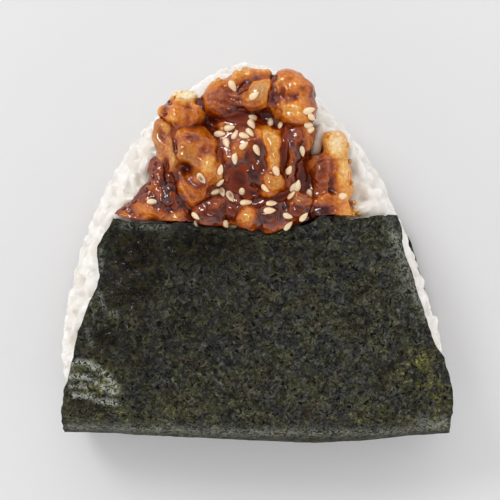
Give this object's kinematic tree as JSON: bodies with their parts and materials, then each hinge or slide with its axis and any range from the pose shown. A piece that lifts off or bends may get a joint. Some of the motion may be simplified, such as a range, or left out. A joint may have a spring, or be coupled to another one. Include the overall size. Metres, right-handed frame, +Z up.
{
  "type": "onigiri rice ball",
  "caption": "Triangular rice ball lying on its back, topped with glazed fried pieces and sesame seeds, with a seaweed strip folded round its base.",
  "frame": {"origin": "on the surface it lies on, under the middle of the object's box", "axes": "+Z up through the thickness, from the back it lies on to the topped front; +Y towards the apex; +X to the right seen from above"},
  "size_m": [0.0974, 0.0954, 0.0425],
  "materials": {
    "rice": "moist cooked white rice, soft and slightly translucent, satin",
    "nori": "roasted seaweed, dark green-black, fibrous and crinkled, satin with small glossy flecks",
    "fried": "fried batter, golden to red-brown, under a glossy amber to dark brown glaze",
    "sauce": "thick sweet soy glaze, wet gloss, dark red-brown where it pools",
    "seed": "toasted sesame, cream to tan, satin"
  },
  "bodies": {
    "root": {"rice": "rice", "nori": "nori", "fried_top": "fried", "fried_left": "fried", "fried_right": "fried", "fried_corner": "fried", "fried_lower_left": "fried", "fried_centre": "fried", "fried_front": "fried"}
  },
  "joints": []
}
